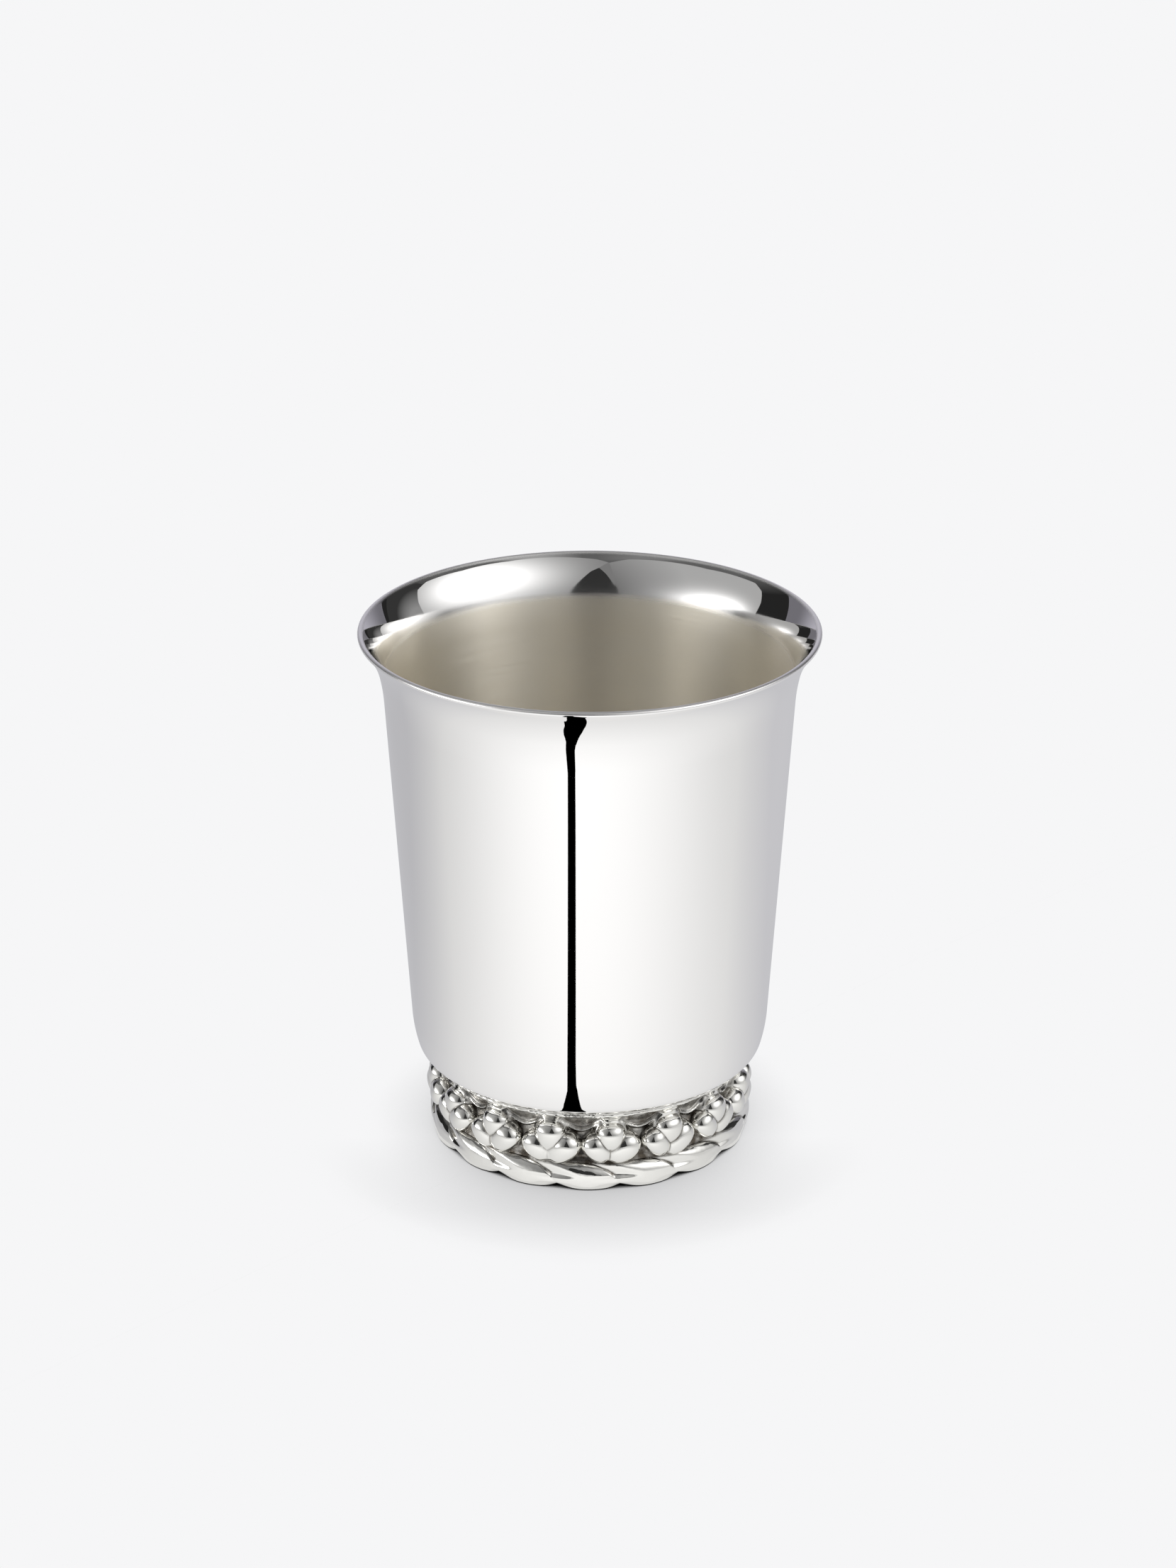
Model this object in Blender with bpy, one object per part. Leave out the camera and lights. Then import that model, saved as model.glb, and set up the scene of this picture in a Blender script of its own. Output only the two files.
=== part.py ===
"""Small silver tumbler: a spun bowl with a flared lip, on a cast foot of buds and leaves.

The cup stands on the floor plane with its axis on Z and its front towards -Y. The bowl is one
spun sheet. Below it a waisted collar carries bud clusters, cast and soldered on one by one, and
a cast garland of overlapping leaves is the ring that the cup stands on. The pieces are modelled
just before soldering, so each keeps the gap that the solder fills.
"""

import math

import bmesh
import bpy
from mathutils import Matrix, Vector

MM = 0.001
SOLDER_GAP = 0.3 * MM
MERGE_DISTANCE = 0.001 * MM
SHARP_ANGLE = math.radians(38)

# The bowl, measured on the outer face of the sheet.
SHEET = 0.9 * MM
BASE_HEIGHT = 13.8 * MM
BASE_FLAT_RADIUS = 25.6 * MM
CORNER_RADIUS = 2.5 * MM
CORNER_TURN = math.radians(74.4)
CORNER_STEPS = 4
SHOULDER_RADIUS = 22.5 * MM
SHOULDER_STEPS = 2
WALL_LENGTH = 53.9 * MM
WALL_LEAN = math.radians(3.66)
WALL_STEPS = 2
FLARE_START_RADIUS = 30 * MM
FLARE_START_TURN = math.radians(9.6)
FLARE_START_STEPS = 2
FLARE_END_RADIUS = 12.5 * MM
FLARE_END_TURN = math.radians(30)
FLARE_END_STEPS = 4
LIP_STEPS = 4
BOWL_SEGMENTS = 60

# The foot: a ring with one recess inside and the same number of buds and leaves outside.
FOOT_INNER_RADIUS = 21.8 * MM
REPEATS = 16
REPEAT_TURN = 2 * math.pi / REPEATS
FIRST_BUD_AZIMUTH = math.radians(7.9)
FIRST_NOTCH_AZIMUTH = math.radians(12.2)

# The collar behind the buds. It opens like a cone above its waist and ends in a small bead. Its
# necks are hollow saddles, and each pocket between two necks holds a swag.
WAIST_RADIUS = 23.2 * MM
WAIST_TOP = 8.6 * MM
BEAD_RADIUS = 0.45 * MM
BEAD_CENTRE = Vector((25.6 * MM, BASE_HEIGHT - SOLDER_GAP - BEAD_RADIUS))
BEAD_STEPS = 3
NECK_HOLLOW = 0.5 * MM
NECK_HOLLOW_HEIGHT = 11.6 * MM
NECK_HOLLOW_SPREAD = 1.0 * MM
NECK_EDGE = 0.27
POCKET_WALL = 0.45
POCKET_BACK_RADIUS = 23.3 * MM
SWAG_ENDS_HEIGHT = 11.8 * MM
SWAG_LOW_HEIGHT = 10.2 * MM
SWAG_SAG_POWER = 1.5
COLLAR_SHARES = (-1.0, -0.72, -POCKET_WALL, -NECK_EDGE, 0.0, NECK_EDGE, POCKET_WALL, 0.72)

# The rows across a swag: how far each is above its ridge, and how far it stands off the pocket.
SWAG_ROWS = (
    (-1.2 * MM, 0.0),
    (-0.6 * MM, 0.0),
    (0.0, 0.6 * MM),
    (0.5 * MM, 0.1 * MM),
)

# The leaf garland. Its grooves slant as they rise, because each leaf's round end lies over the
# start of the next one. Below, the leaves curl clear of the floor, most at the notches.
GARLAND_HEIGHT = 4.2 * MM
GROOVE_SLANT = math.radians(-1.47) / MM
LEAF_MIDDLE = 2.1 * MM
LEAF_ROOT_RADIUS = 23.95 * MM
LEAF_RELIEF = 2.2 * MM
LEAF_FULLNESS = 2.3
LEAF_DROP = 2.6 * MM
LEAF_RISE = (3.05 * MM, 2.4 * MM)
LEAF_CROWN = 0.44
NOTCH_SWELL = 0.62
LEAF_START_SWELL = 0.62
LEAF_END_SWELL = 0.52
LEAF_NOSE = 0.1
LEAF_FULL_TURN = 0.5
OVERLAP_HEIGHTS = (1.5 * MM, 2.6 * MM)
CROWN_LIFT = 0.3 * MM
NOTCH_LIFT = 0.8 * MM
CONTACT_RADIUS = 23.6 * MM
LEAF_TURNS = (0.0, 0.14, 0.3, 0.46, 0.62, 0.78, 0.9, 0.975)
LEAF_ROWS = 5

# One bud cluster: an upper bud over two that lean apart. Half sizes are width, depth, length.
LOBE_CENTRE_RADIUS = 24.1 * MM
LOBE_TAPER = 0.12
LOBE_FULLNESS = 2.25
UPPER_LOBE_PLACE = (0, 8.75 * MM)
UPPER_LOBE_HALF_SIZE = Vector((2.42, 2.4, 2.75)) * MM
LEFT_LOBE_PLACE = (-2.1 * MM, 6.7 * MM)
LEFT_LOBE_HALF_SIZE = Vector((2.15, 2.3, 2.85)) * MM
LEFT_LOBE_LEAN = math.radians(-40)
RIGHT_LOBE_PLACE = (1.8 * MM, 6.7 * MM)
RIGHT_LOBE_HALF_SIZE = Vector((2.3, 2.35, 3.15)) * MM
RIGHT_LOBE_LEAN = math.radians(46)
LOBE_SEGMENTS = 10
LOBE_RINGS = 8
SEAT_SEGMENTS = 48

# The metal, cast and left soft on the foot, and polished bright on the bowl.
POLISHED_COLOUR = (0.93, 0.92, 0.9)
POLISHED_ROUGHNESS = 0.06
CAST_COLOUR = (0.84, 0.83, 0.8)
CAST_ROUGHNESS = 0.16


def silver(name, colour, roughness):
    """A plain metal with this colour, polished to this roughness."""
    material = bpy.data.materials.new(name)
    material.use_nodes = True
    shader = material.node_tree.nodes["Principled BSDF"]
    shader.inputs["Base Color"].default_value = (*colour, 1)
    shader.inputs["Metallic"].default_value = 1
    shader.inputs["Roughness"].default_value = roughness
    material.diffuse_color = (*colour, 1)
    material.metallic = 1
    material.roughness = roughness
    return material


def add_piece(name, mesh, material, azimuth=0.0):
    """Places a finished mesh as a named piece of the cup, turned to its azimuth."""
    if not mesh.materials:
        mesh.materials.append(material)
    mesh.shade_smooth()
    mesh.set_sharp_from_angle(angle=SHARP_ANGLE)
    piece = bpy.data.objects.new(name, mesh)
    bpy.context.scene.collection.objects.link(piece)
    piece.rotation_euler.z = azimuth
    piece.parent = cup_axis
    return piece


def mesh_from(work, name):
    """Closes a bmesh into a mesh with its faces pointing out."""
    bmesh.ops.remove_doubles(work, verts=work.verts, dist=MERGE_DISTANCE)
    bmesh.ops.recalc_face_normals(work, faces=work.faces)
    mesh = bpy.data.meshes.new(name)
    work.to_mesh(mesh)
    work.free()
    return mesh


def turned(name, profile, segments, closed):
    """Turns a profile of (radius, height) points about Z. A closed one is a ring's section."""
    work = bmesh.new()
    verts = [work.verts.new((radius, 0, height)) for radius, height in profile]
    edges = [work.edges.new(pair) for pair in zip(verts, verts[1:])]
    if closed:
        edges.append(work.edges.new((verts[-1], verts[0])))
    bmesh.ops.spin(
        work,
        geom=verts + edges,
        cent=(0, 0, 0),
        axis=(0, 0, 1),
        angle=2 * math.pi,
        steps=segments,
        use_merge=True,
    )
    return mesh_from(work, name)


def arc(centre, radius, start, end, steps):
    """Points on an arc, both ends included. Angles run from the outward direction, up is positive."""
    angles = [start + (end - start) * step / steps for step in range(steps + 1)]
    return [centre + radius * Vector((math.cos(angle), math.sin(angle))) for angle in angles]


def bowl_outer_line():
    """The outer face from the middle of the base to the lip, as (point, heading) pairs.

    Each stretch leaves the one before at a tangent: the flat base, the tight corner, the soft
    shoulder, the straight wall, and the flare that opens slowly and then faster.
    """
    shoulder_turn = math.pi / 2 - WALL_LEAN - CORNER_TURN
    bends = [
        (CORNER_RADIUS, CORNER_TURN, CORNER_STEPS),
        (SHOULDER_RADIUS, shoulder_turn, SHOULDER_STEPS),
        (None, WALL_LENGTH, WALL_STEPS),
        (FLARE_START_RADIUS, -FLARE_START_TURN, FLARE_START_STEPS),
        (FLARE_END_RADIUS, -FLARE_END_TURN, FLARE_END_STEPS),
    ]
    heading = 0.0
    point = Vector((BASE_FLAT_RADIUS, BASE_HEIGHT))
    line = [(Vector((0, BASE_HEIGHT)), heading), (point, heading)]
    for radius, amount, steps in bends:
        for _ in range(steps):
            if radius is None:
                stride = amount / steps
                turn = 0.0
            else:
                turn = amount / steps
                stride = 2 * radius * math.sin(abs(turn) / 2)
            middle = heading + turn / 2
            point = point + stride * Vector((math.cos(middle), math.sin(middle)))
            heading += turn
            line.append((point, heading))
    return line


def make_bowl():
    """One spun sheet of even thickness, with a half-round edge at the lip."""
    outer_line = bowl_outer_line()
    outer = [point for point, _ in outer_line]
    inner = [
        point + SHEET * Vector((-math.sin(heading), math.cos(heading)))
        for point, heading in outer_line
    ]
    lip_heading = outer_line[-1][1]
    lip = arc(
        (outer[-1] + inner[-1]) / 2,
        SHEET / 2,
        lip_heading + math.pi / 2,
        lip_heading - math.pi / 2,
        LIP_STEPS,
    )
    profile = inner + lip[1:-1] + outer[::-1]
    mesh = turned("bowl", profile, BOWL_SEGMENTS, closed=False)
    add_piece("bowl", mesh, polished_silver)


def smooth(low, high, value):
    """Rises softly from 0 at the low value to 1 at the high one."""
    part = min(max((value - low) / (high - low), 0), 1)
    return part * part * (3 - 2 * part)


def ring_through(name, columns):
    """A closed ring whose sections are columns of (radius, azimuth, height), in order round it."""
    work = bmesh.new()
    rows = []
    for column in columns:
        places = [(r * math.sin(a), -r * math.cos(a), height) for r, a, height in column]
        rows.append([work.verts.new(place) for place in places])
    for column, following in zip(rows, rows[1:] + rows[:1]):
        for row in range(len(column)):
            above = (row + 1) % len(column)
            work.faces.new((column[row], following[row], following[above], column[above]))
    add_piece(name, mesh_from(work, name), cast_silver)


def collar_front(clearance):
    """The space behind the buds, from its foot up the waist and the cone, with a clearance."""
    foot = Vector((WAIST_RADIUS + clearance, GARLAND_HEIGHT + SOLDER_GAP))
    waist_top = Vector((WAIST_RADIUS + clearance, WAIST_TOP))
    cone_top = Vector((BEAD_CENTRE.x + clearance, BEAD_CENTRE.y - BEAD_RADIUS))
    return [foot, waist_top, cone_top]


def neck_radius(height):
    """The collar's radius on a neck: its cone, hollowed a little below the bead."""
    foot, waist_top, cone_top = collar_front(0)
    part = min(max((height - waist_top.y) / (cone_top.y - waist_top.y), 0), 1)
    near = (height - NECK_HOLLOW_HEIGHT) / NECK_HOLLOW_SPREAD
    return foot.x + (cone_top.x - foot.x) * part - NECK_HOLLOW * math.exp(-near * near)


def collar_section(share):
    """The collar's front points, this share of the way from a neck's middle to a pocket's.

    Its rows follow the swag that hangs across the pocket between two necks.
    """
    sag = (SWAG_ENDS_HEIGHT - SWAG_LOW_HEIGHT) * (1 - share) ** SWAG_SAG_POWER
    scooped = smooth(NECK_EDGE, POCKET_WALL, share)
    foot, waist_top, _ = collar_front(0)
    points = [foot, waist_top]
    for offset, relief in SWAG_ROWS:
        height = SWAG_LOW_HEIGHT + sag + offset
        neck = neck_radius(height)
        pocket = min(POCKET_BACK_RADIUS + relief, neck)
        points.append(Vector((neck + (pocket - neck) * scooped, height)))
    return points


def make_collar():
    """The ring behind the buds: necks, pockets with their swags, and a bead along the top."""
    bead = arc(BEAD_CENTRE, BEAD_RADIUS, -math.pi / 4, math.pi / 2, BEAD_STEPS)
    columns = []
    for repeat in range(REPEATS):
        for share in COLLAR_SHARES:
            azimuth = FIRST_BUD_AZIMUTH + (repeat + share / 2) * REPEAT_TURN
            section = collar_section(abs(share)) + bead
            section.append(Vector((FOOT_INNER_RADIUS, bead[-1].y)))
            section.append(Vector((FOOT_INNER_RADIUS, section[0].y)))
            columns.append([(point.x, azimuth, point.y) for point in section])
    ring_through("foot_collar", columns)


def hidden_tool(name, mesh):
    """A shape that only cuts or joins others and is no piece of the cup."""
    tool = bpy.data.objects.new(name, mesh)
    bpy.context.scene.collection.objects.link(tool)
    tool.hide_render = True
    tool.display_type = "WIRE"
    tool.parent = cup_axis
    return tool


def leaf_swell(turn, height):
    """How far a leaf stands out at this turn through it, from 0 at its root to 1 on the crown.

    Near the floor the leaves are plain scallops. Higher up each one rises slowly from under the
    leaf before it, and ends in a round nose on the leaf after it.
    """
    evened = turn ** (math.log(0.5) / math.log(LEAF_CROWN))
    low = NOTCH_SWELL + (1 - NOTCH_SWELL) * math.sin(math.pi * evened)
    start = LEAF_START_SWELL + (1 - LEAF_START_SWELL) * smooth(-LEAF_NOSE, LEAF_FULL_TURN, turn)
    past_nose = max(turn + LEAF_NOSE - 1, 0) / LEAF_NOSE
    nose = math.sqrt(1 - past_nose * past_nose)
    high = start * (LEAF_END_SWELL + (1 - LEAF_END_SWELL) * nose)
    return low + (high - low) * smooth(*OVERLAP_HEIGHTS, height)


def garland_radius(turn, height):
    """The garland's outer radius at this turn through a leaf and this height."""
    rise = LEAF_RISE[0] + (LEAF_RISE[1] - LEAF_RISE[0]) * turn
    reach = rise if height > LEAF_MIDDLE else LEAF_DROP
    offset = abs(height - LEAF_MIDDLE) / reach
    section = (1 - offset**LEAF_FULLNESS) ** (1 / LEAF_FULLNESS)
    return LEAF_ROOT_RADIUS + LEAF_RELIEF * leaf_swell(turn, height) * section


def make_garland():
    """The cast ring of overlapping leaves. The cup stands on the plain rim at its inside."""
    columns = []
    for leaf in range(REPEATS):
        for turn in LEAF_TURNS:
            start = FIRST_NOTCH_AZIMUTH + REPEAT_TURN * (leaf + turn)
            lift = CROWN_LIFT + (NOTCH_LIFT - CROWN_LIFT) * (1 - math.sin(math.pi * turn)) ** 2
            column = []
            for row in range(LEAF_ROWS + 1):
                height = lift + (GARLAND_HEIGHT - lift) * row / LEAF_ROWS
                azimuth = start + GROOVE_SLANT * height
                column.append((garland_radius(turn, height), azimuth, height))
            column.append((FOOT_INNER_RADIUS, azimuth, GARLAND_HEIGHT))
            column.append((FOOT_INNER_RADIUS, start, 0))
            column.append((CONTACT_RADIUS, start, 0))
            columns.append(column)
    ring_through("leaf_garland", columns)


def lobe(name, place, half_size, lean):
    """An egg-shaped lobe at the front of the foot, slimmer towards its foot.

    Its place is its distance across and its height, and its top leans sideways by an angle.
    """
    work = bmesh.new()
    bmesh.ops.create_uvsphere(work, u_segments=LOBE_SEGMENTS, v_segments=LOBE_RINGS, radius=1)
    for vert in work.verts:
        fullness = sum(abs(part) ** LOBE_FULLNESS for part in vert.co) ** (1 / LOBE_FULLNESS)
        vert.co /= fullness
        slimming = 1 + LOBE_TAPER * vert.co.z
        vert.co.x *= slimming
        vert.co.y *= slimming
    across, height = place
    placing = (
        Matrix.Translation((across, -LOBE_CENTRE_RADIUS, height))
        @ Matrix.Rotation(lean, 4, "Y")
        @ Matrix.Diagonal((*half_size, 1))
    )
    bmesh.ops.transform(work, matrix=placing, verts=work.verts)
    return hidden_tool(name, mesh_from(work, name))


def evaluated_mesh(shape, name):
    """A shape's mesh with its modifiers worked out."""
    graph = bpy.context.evaluated_depsgraph_get()
    mesh = bpy.data.meshes.new_from_object(shape.evaluated_get(graph), depsgraph=graph)
    mesh.name = name
    return mesh


def bud_seat():
    """The space kept clear behind and below a bud cluster, for the collar and the garland."""
    front = collar_front(SOLDER_GAP)
    far_out = 2 * WAIST_RADIUS
    profile = [
        Vector((0, 0)),
        Vector((far_out, 0)),
        Vector((far_out, front[0].y)),
        *front,
        Vector((front[-1].x, BASE_HEIGHT)),
        Vector((0, BASE_HEIGHT)),
    ]
    return hidden_tool("bud_seat", turned("bud_seat", profile, SEAT_SEGMENTS, closed=False))


def make_bud_clusters():
    """Three lobes, joined and cut to their seat once, then set round the collar."""
    upper = lobe("upper_lobe", UPPER_LOBE_PLACE, UPPER_LOBE_HALF_SIZE, 0)
    left = lobe("left_lobe", LEFT_LOBE_PLACE, LEFT_LOBE_HALF_SIZE, LEFT_LOBE_LEAN)
    right = lobe("right_lobe", RIGHT_LOBE_PLACE, RIGHT_LOBE_HALF_SIZE, RIGHT_LOBE_LEAN)
    seat = bud_seat()
    steps = [("left", "UNION", left), ("right", "UNION", right), ("seat", "DIFFERENCE", seat)]
    for name, operation, other in steps:
        change = upper.modifiers.new(name, "BOOLEAN")
        change.operation = operation
        change.solver = "EXACT"
        change.object = other
    cluster = evaluated_mesh(upper, "bud_cluster")
    for tool in (upper, left, right, seat):
        bpy.data.objects.remove(tool)
    for repeat in range(REPEATS):
        azimuth = FIRST_BUD_AZIMUTH + repeat * REPEAT_TURN
        add_piece(f"bud_cluster_{repeat + 1:02d}", cluster, cast_silver, azimuth)


for old in list(bpy.data.objects):
    bpy.data.objects.remove(old, do_unlink=True)

cup_axis = bpy.data.objects.new("cup_axis", None)
bpy.context.scene.collection.objects.link(cup_axis)
polished_silver = silver("polished_silver", POLISHED_COLOUR, POLISHED_ROUGHNESS)
cast_silver = silver("cast_silver", CAST_COLOUR, CAST_ROUGHNESS)

make_bowl()
make_collar()
make_garland()
make_bud_clusters()
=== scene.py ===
"""A small silver tumbler: its finished surfaces, and the pale studio that it stands in."""

import math
import random

import bmesh
import bpy
import numpy as np
from mathutils import Matrix, Vector, noise


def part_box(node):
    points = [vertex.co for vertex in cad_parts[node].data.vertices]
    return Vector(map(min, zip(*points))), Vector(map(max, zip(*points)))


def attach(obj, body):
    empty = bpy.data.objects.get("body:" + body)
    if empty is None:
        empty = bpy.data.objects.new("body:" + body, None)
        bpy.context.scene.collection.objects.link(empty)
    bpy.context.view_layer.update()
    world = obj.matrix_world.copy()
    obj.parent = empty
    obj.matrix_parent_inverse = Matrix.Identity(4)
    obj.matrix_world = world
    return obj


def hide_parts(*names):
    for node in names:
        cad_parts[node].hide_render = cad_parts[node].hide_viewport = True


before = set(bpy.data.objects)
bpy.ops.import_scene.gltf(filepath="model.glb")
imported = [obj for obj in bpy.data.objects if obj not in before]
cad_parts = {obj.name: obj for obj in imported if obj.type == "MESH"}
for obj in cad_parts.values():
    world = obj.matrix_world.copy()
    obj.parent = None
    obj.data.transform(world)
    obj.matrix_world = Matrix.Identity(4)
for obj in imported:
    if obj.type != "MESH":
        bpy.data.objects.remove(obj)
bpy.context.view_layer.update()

# The bowl. One disc of sterling sheet, spun over a former into a straight wall with a flared
# lip. The outside and the lip are buffed to a mirror. The inside is left as the satin mop
# leaves it, with fine lines running round it.
MM = 0.001
SHEET = 0.9 * MM
BASE_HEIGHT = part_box("bowl")[0].z
BASE_FLAT_RADIUS = 25.6 * MM
# Each of these bends is its radius, how far it turns, and the steps that it is drawn in.
CORNER = (2.5 * MM, math.radians(74.4), 20)
FLARE_START = (30 * MM, -math.radians(9.6), 14)
FLARE_END = (12.5 * MM, -math.radians(30), 34)
SHOULDER_RADIUS = 22.5 * MM
SHOULDER_STEPS = 10
WALL_LENGTH = 53.9 * MM
WALL_LEAN = math.radians(3.66)
WALL_STEPS = 12
THINNING_START, THINNING_END = 77.2 * MM, 79.8 * MM
THINNING = 0.04 * MM
LIP_STEPS = 12
BOWL_SEGMENTS = 192
WELD_DISTANCE = 0.001 * MM
# Heights inside: the satin fades out between the first two, a trace of haze ends at the third.
SATIN_LINE = 78.0 * MM
POLISH_LINE = 79.7 * MM
THROAT_TOP = 82 * MM
RIM_START, RIM_TOP = 84.95 * MM, 85.25 * MM
POLISHED_SILVER = "FAF9F8"
PIT_GREY = "A8A6A2"
SATIN_TONES = ("EEE8DA", "FAF5E9")
RIM_WEAR = 0.32
HAZE_SIZE = 14 * MM
HAIR_LENGTH = 5 * MM
HAIR_SLIMNESS = 14
HAIR_PATTERN_TURN = (0.5, 0.9, 0.3)
PIT_SPACING = 7 * MM
PIT_RADIUS = 0.21 * MM
UNPITTED_SHARE = 0.55
SATIN_ROUGHNESS = 0.35
THROAT_ROUGHNESS = 0.1
THROAT_TOP_ROUGHNESS = 0.02
# The satin's real lines are finer than this, and wouldn't show.
LINE_SPACING = 0.35 * MM
LINE_DEPTH = 0.02 * MM
LINE_DRIFT = 0.6 * MM
CLOUD_SIZE = 16 * MM


def bowl_outer_line():
    """The outer face from the middle of the base to the lip, as (point, heading) pairs."""
    shoulder_turn = math.pi / 2 - WALL_LEAN - CORNER[1]
    bends = [
        CORNER,
        (SHOULDER_RADIUS, shoulder_turn, SHOULDER_STEPS),
        (None, WALL_LENGTH, WALL_STEPS),
        FLARE_START,
        FLARE_END,
    ]
    heading = 0.0
    point = Vector((BASE_FLAT_RADIUS, BASE_HEIGHT))
    line = [(Vector((0, BASE_HEIGHT)), heading), (point * 1, heading)]
    for radius, amount, steps in bends:
        for _ in range(steps):
            turn = 0.0 if radius is None else amount / steps
            stride = amount / steps if radius is None else 2 * radius * math.sin(abs(turn) / 2)
            middle = heading + turn / 2
            point = point + stride * Vector((math.cos(middle), math.sin(middle)))
            heading += turn
            line.append((point, heading))
    return line


def smooth(low, high, value):
    """Rises softly from 0 at the low value to 1 at the high one."""
    part = min(max((value - low) / (high - low), 0), 1)
    return part * part * (3 - 2 * part)


def sheet_at(height):
    """The sheet's thickness, a little less where spinning stretched it into the lip."""
    return SHEET - THINNING * smooth(THINNING_START, THINNING_END, height)


def turned(name, profile, segments):
    """Turns a profile of (radius, height) points, from axis to axis, into a closed mesh."""
    work = bmesh.new()
    verts = [work.verts.new((radius, 0, height)) for radius, height in profile]
    edges = [work.edges.new(pair) for pair in zip(verts, verts[1:])]
    bmesh.ops.spin(
        work,
        geom=verts + edges,
        cent=(0, 0, 0),
        axis=(0, 0, 1),
        angle=2 * math.pi,
        steps=segments,
        use_merge=True,
    )
    bmesh.ops.remove_doubles(work, verts=work.verts, dist=WELD_DISTANCE)
    bmesh.ops.recalc_face_normals(work, faces=work.faces)
    # Spinning leaves edges and faces in no fixed order, so they are put in that of their corners.
    work.verts.index_update()
    count = len(work.verts)
    for parts in (work.edges, work.faces):
        corners = {part: sorted(vert.index for vert in part.verts) for part in parts}
        parts.sort(key=lambda part: corners[part][0] * count + corners[part][-1])
    mesh = bpy.data.meshes.new(name)
    work.to_mesh(mesh)
    work.free()
    return mesh


def show(name, mesh, materials, slot, *nodes):
    """Puts a finished mesh in the scene as a piece of the cup that stands for these nodes."""
    for material in materials:
        mesh.materials.append(material)
    mesh.shade_smooth()
    piece = bpy.data.objects.new(name, mesh)
    bpy.context.scene.collection.objects.link(piece)
    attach(piece, "root")
    if nodes:
        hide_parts(*nodes)
    return piece


def linear(code):
    """An sRGB hex colour as a linear one with alpha 1."""
    parts = [int(code[place : place + 2], 16) / 255 for place in (0, 2, 4)]
    return (*[p / 12.92 if p <= 0.04045 else ((p + 0.055) / 1.055) ** 2.4 for p in parts], 1)


def add_node(tree, kind, inputs=None, **settings):
    """One shader node with its settings, and its inputs set to values or linked to sockets.

    An input is given by its name, or by its place where a node has several of one name.
    """
    node = tree.nodes.new(kind)
    for name, value in settings.items():
        setattr(node, name, value)
    for name, value in (inputs or {}).items():
        if isinstance(value, bpy.types.NodeSocket):
            tree.links.new(value, node.inputs[name])
        else:
            node.inputs[name].default_value = value
    return node


def new_metal(name):
    """An empty metal and its node tree, shader and position in metres."""
    material = bpy.data.materials.new(name)
    material.use_nodes = True
    tree = material.node_tree
    shader = tree.nodes["Principled BSDF"]
    shader.inputs["Metallic"].default_value = 1
    place = add_node(tree, "ShaderNodeTexCoord").outputs["Object"]
    return material, tree, shader, place


def round_the_axis(tree, place):
    """A position as (radius, height, a little of the angle), so that noise in it runs round."""
    parts = add_node(tree, "ShaderNodeSeparateXYZ", {"Vector": place}).outputs
    flat = add_node(tree, "ShaderNodeCombineXYZ", {"X": parts["X"], "Y": parts["Y"]})
    radius = add_node(tree, "ShaderNodeVectorMath", {0: flat.outputs[0]}, operation="LENGTH")
    angle = add_node(
        tree, "ShaderNodeMath", {0: parts["Y"], 1: parts["X"]}, operation="ARCTAN2"
    )
    slow = add_node(
        tree, "ShaderNodeMath", {0: angle.outputs[0], 1: LINE_DRIFT}, operation="MULTIPLY"
    )
    return add_node(
        tree,
        "ShaderNodeCombineXYZ",
        {"X": radius.outputs["Value"], "Y": parts["Z"], "Z": slow.outputs[0]},
    ).outputs[0]


def polished_sterling():
    """Sterling sheet buffed on a soft mop: a true mirror, with a trace of wiping haze.

    Use has left tiny dull pits here and there, and has worn the top of the rim.
    """
    material, tree, shader, place = new_metal("polished_sterling")
    haze = add_node(
        tree, "ShaderNodeTexNoise", {"Vector": place, "Scale": 1 / HAZE_SIZE, "Detail": 3}
    )
    wiping = add_node(
        tree,
        "ShaderNodeMapping",
        {"Vector": place, "Rotation": HAIR_PATTERN_TURN, "Scale": (1, 1, HAIR_SLIMNESS)},
    )
    hairs = add_node(
        tree,
        "ShaderNodeTexNoise",
        {"Vector": wiping.outputs[0], "Scale": 1 / HAIR_LENGTH, "Detail": 6},
    )
    both = add_node(
        tree, "ShaderNodeMath", {0: haze.outputs[0], 1: hairs.outputs[0]}, operation="MULTIPLY"
    )
    roughness = add_node(
        tree,
        "ShaderNodeMapRange",
        {
            "Value": both.outputs[0],
            "From Min": 0.12,
            "From Max": 0.45,
            "To Min": 0.008,
            "To Max": 0.03,
        },
    )
    height = add_node(tree, "ShaderNodeSeparateXYZ", {"Vector": place}).outputs["Z"]
    rim = add_node(
        tree,
        "ShaderNodeMapRange",
        {"Value": height, "From Min": RIM_START, "From Max": RIM_TOP, "To Max": RIM_WEAR},
    )
    worn = add_node(
        tree, "ShaderNodeMath", {0: roughness.outputs[0], 1: rim.outputs[0]}, operation="ADD"
    )
    tree.links.new(worn.outputs[0], shader.inputs["Roughness"])
    cells = add_node(
        tree, "ShaderNodeTexVoronoi", {"Vector": place, "Scale": 1 / PIT_SPACING}
    ).outputs
    chance = add_node(tree, "ShaderNodeSeparateXYZ", {"Vector": cells["Color"]}).outputs["X"]
    size = add_node(
        tree,
        "ShaderNodeMapRange",
        {"Value": chance, "From Min": UNPITTED_SHARE, "To Max": PIT_RADIUS / PIT_SPACING},
    )
    pit = add_node(
        tree,
        "ShaderNodeMath",
        {0: cells["Distance"], 1: size.outputs[0]},
        operation="LESS_THAN",
    )
    speckled = add_node(
        tree,
        "ShaderNodeMix",
        {"Factor": pit.outputs[0], "A": linear(POLISHED_SILVER), "B": linear(PIT_GREY)},
        data_type="RGBA",
    )
    tree.links.new(speckled.outputs["Result"], shader.inputs["Base Color"])
    return material


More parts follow.
